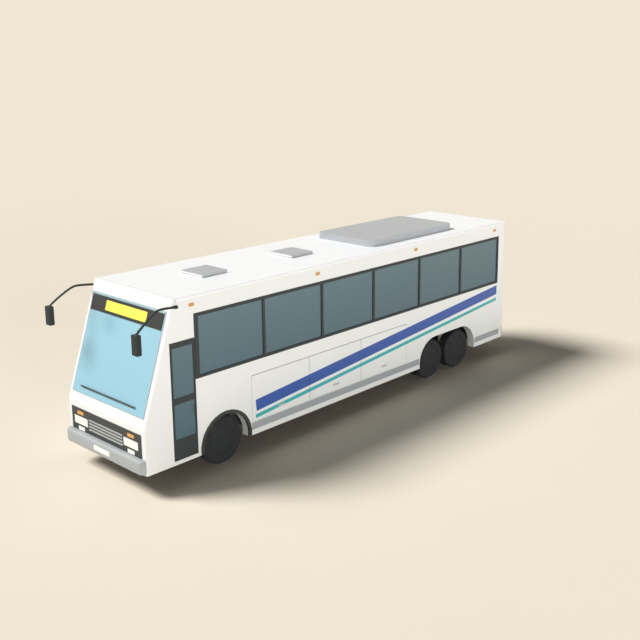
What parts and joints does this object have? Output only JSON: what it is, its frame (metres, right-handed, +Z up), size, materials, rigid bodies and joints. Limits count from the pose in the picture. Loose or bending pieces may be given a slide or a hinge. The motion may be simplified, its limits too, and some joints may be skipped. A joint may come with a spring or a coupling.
{
  "type": "coach bus",
  "caption": "Long-distance coach with a raked windscreen, framed side windows, luggage flaps, roof unit and hatches, and wing mirrors on forward arms.",
  "frame": {"origin": "on the ground at the middle of the bounding box", "axes": "+Z up, +Y towards the rear, +X to the bus's left, the side with the passenger door"},
  "size_m": [3.024, 11.9352, 3.7703],
  "materials": {
    "white_paint": "gloss",
    "roof_paint": "gloss",
    "dark_trim": "satin",
    "side_glass": "clear tinted",
    "screen_glass": "clear tinted",
    "sign_panel": "satin",
    "grey_plastic": "satin",
    "hatch_grey": "satin",
    "lamp_lens": "gloss",
    "tail_lamp": "gloss",
    "tyre_rubber": "matt",
    "wheel_cover": "satin",
    "chassis_steel": "matt",
    "axle_casting": "matt",
    "floor_vinyl": "matt",
    "seat_cloth": "woven",
    "dash_plastic": "matt",
    "engine_iron": "matt"
  },
  "bodies": {
    "coach_body": {"side_wall_left": "white_paint", "side_wall_right": "white_paint", "roof_panel": "roof_paint", "front_panel": "white_paint", "rear_panel": "white_paint", "windscreen": "screen_glass", "destination_sign": "sign_panel", "wiper": "dark_trim", "rear_window": "side_glass", "front_mask": "dark_trim", "front_bumper": "grey_plastic", "rear_bumper": "grey_plastic", "side_glass_left": "side_glass", "side_glass_right": "side_glass", "window_frame_left": "dark_trim", "window_frame_right": "dark_trim", "lamp_cluster_left": "lamp_lens", "lamp_cluster_right": "lamp_lens", "rear_lamp_left": "tail_lamp", "rear_lamp_right": "tail_lamp", "mirror_left": "dark_trim", "mirror_right": "dark_trim", "ac_unit": "grey_plastic", "floor_structure": "floor_vinyl", "chassis_frame": "chassis_steel", "engine_block": "engine_iron", "front_axle": "axle_casting", "drive_axle": "axle_casting", "tag_axle": "axle_casting", "passenger_seats": "seat_cloth", "driver_seat": "seat_cloth", "dashboard": "dash_plastic"},
    "passenger_door": {"door_leaf": "dark_trim", "door_glass": "side_glass"},
    "engine_flap": {"engine_door": "white_paint"},
    "front_roof_hatch": {"roof_hatch_front": "hatch_grey"},
    "rear_roof_hatch": {"roof_hatch_rear": "hatch_grey"},
    "steering_hand_wheel": {"steering_wheel": "dash_plastic"},
    "left_knuckle": {"knuckle_left": "axle_casting"},
    "front_left_wheel": {"front_tyre_left": "tyre_rubber", "front_rim_left": "wheel_cover"},
    "drive_left_wheel": {"drive_tyre_left_outer": "tyre_rubber", "drive_tyre_left_inner": "tyre_rubber", "drive_rim_left": "wheel_cover"},
    "tag_left_wheel": {"tag_tyre_left": "tyre_rubber", "tag_rim_left": "wheel_cover"},
    "left_luggage_flap_1": {"luggage_door_left_1": "white_paint"},
    "left_luggage_flap_2": {"luggage_door_left_2": "white_paint"},
    "left_luggage_flap_3": {"luggage_door_left_3": "white_paint"},
    "right_knuckle": {"knuckle_right": "axle_casting"},
    "front_right_wheel": {"front_tyre_right": "tyre_rubber", "front_rim_right": "wheel_cover"},
    "drive_right_wheel": {"drive_tyre_right_outer": "tyre_rubber", "drive_tyre_right_inner": "tyre_rubber", "drive_rim_right": "wheel_cover"},
    "tag_right_wheel": {"tag_tyre_right": "tyre_rubber", "tag_rim_right": "wheel_cover"},
    "right_luggage_flap_1": {"luggage_door_right_1": "white_paint"},
    "right_luggage_flap_2": {"luggage_door_right_2": "white_paint"},
    "right_luggage_flap_3": {"luggage_door_right_3": "white_paint"}
  },
  "joints": [
    {"name": "left_steering", "type": "hinge", "parent": "coach_body", "child": "left_knuckle", "pos_m": [0.9, -3.84965, 0.495], "axis": [0, 0, 1], "range_deg": [-40, 40]},
    {"name": "front_left_spin", "type": "hinge", "parent": "left_knuckle", "child": "front_left_wheel", "pos_m": [0.9, -3.84965, 0.495], "axis": [1, 0, 0], "continuous": true},
    {"name": "drive_left_spin", "type": "hinge", "parent": "coach_body", "child": "drive_left_wheel", "pos_m": [0.9, 2.85735, 0.495], "axis": [1, 0, 0], "continuous": true},
    {"name": "tag_left_spin", "type": "hinge", "parent": "coach_body", "child": "tag_left_wheel", "pos_m": [0.9, 3.97235, 0.495], "axis": [1, 0, 0], "continuous": true},
    {"name": "right_steering", "type": "hinge", "parent": "coach_body", "child": "right_knuckle", "pos_m": [-0.9, -3.84965, 0.495], "axis": [0, 0, 1], "range_deg": [-40, 40]},
    {"name": "front_right_spin", "type": "hinge", "parent": "right_knuckle", "child": "front_right_wheel", "pos_m": [-0.9, -3.84965, 0.495], "axis": [1, 0, 0], "continuous": true},
    {"name": "drive_right_spin", "type": "hinge", "parent": "coach_body", "child": "drive_right_wheel", "pos_m": [-0.9, 2.85735, 0.495], "axis": [1, 0, 0], "continuous": true},
    {"name": "tag_right_spin", "type": "hinge", "parent": "coach_body", "child": "tag_right_wheel", "pos_m": [-0.9, 3.97235, 0.495], "axis": [1, 0, 0], "continuous": true},
    {"name": "hand_wheel_turn", "type": "hinge", "parent": "coach_body", "child": "steering_hand_wheel", "pos_m": [-0.6, -5.28265, 1.71], "axis": [0, 0.5, 0.866], "range_deg": [-760, 760]},
    {"name": "passenger_door_hinge", "type": "hinge", "parent": "coach_body", "child": "passenger_door", "pos_m": [1.263, -5.09465, 0.501], "axis": [0, 0, -1], "range_deg": [0, 90]},
    {"name": "left_luggage_hinge_1", "type": "hinge", "parent": "coach_body", "child": "left_luggage_flap_1", "pos_m": [1.263, -2.36515, 1.658], "axis": [0, -1, 0], "range_deg": [0, 80]},
    {"name": "left_luggage_hinge_2", "type": "hinge", "parent": "coach_body", "child": "left_luggage_flap_2", "pos_m": [1.263, -0.72015, 1.658], "axis": [0, -1, 0], "range_deg": [0, 80]},
    {"name": "left_luggage_hinge_3", "type": "hinge", "parent": "coach_body", "child": "left_luggage_flap_3", "pos_m": [1.263, 0.92485, 1.658], "axis": [0, -1, 0], "range_deg": [0, 80]},
    {"name": "right_luggage_hinge_1", "type": "hinge", "parent": "coach_body", "child": "right_luggage_flap_1", "pos_m": [-1.263, -2.36515, 1.658], "axis": [0, 1, 0], "range_deg": [0, 80]},
    {"name": "right_luggage_hinge_2", "type": "hinge", "parent": "coach_body", "child": "right_luggage_flap_2", "pos_m": [-1.263, -0.72015, 1.658], "axis": [0, 1, 0], "range_deg": [0, 80]},
    {"name": "right_luggage_hinge_3", "type": "hinge", "parent": "coach_body", "child": "right_luggage_flap_3", "pos_m": [-1.263, 0.92485, 1.658], "axis": [0, 1, 0], "range_deg": [0, 80]},
    {"name": "engine_door_hinge", "type": "hinge", "parent": "coach_body", "child": "engine_flap", "pos_m": [0, 5.86535, 1.838], "axis": [1, 0, 0], "range_deg": [0, 80]},
    {"name": "front_hatch_hinge", "type": "hinge", "parent": "coach_body", "child": "front_roof_hatch", "pos_m": [0, -2.92465, 3.658], "axis": [-1, 0, 0], "range_deg": [0, 60]},
    {"name": "rear_hatch_hinge", "type": "hinge", "parent": "coach_body", "child": "rear_roof_hatch", "pos_m": [0, -0.46465, 3.658], "axis": [-1, 0, 0], "range_deg": [0, 60]}
  ],
  "couplings": [
    {"joint": "right_steering", "follows": "left_steering", "ratio": 1},
    {"joint": "hand_wheel_turn", "follows": "left_steering", "ratio": 18}
  ]
}
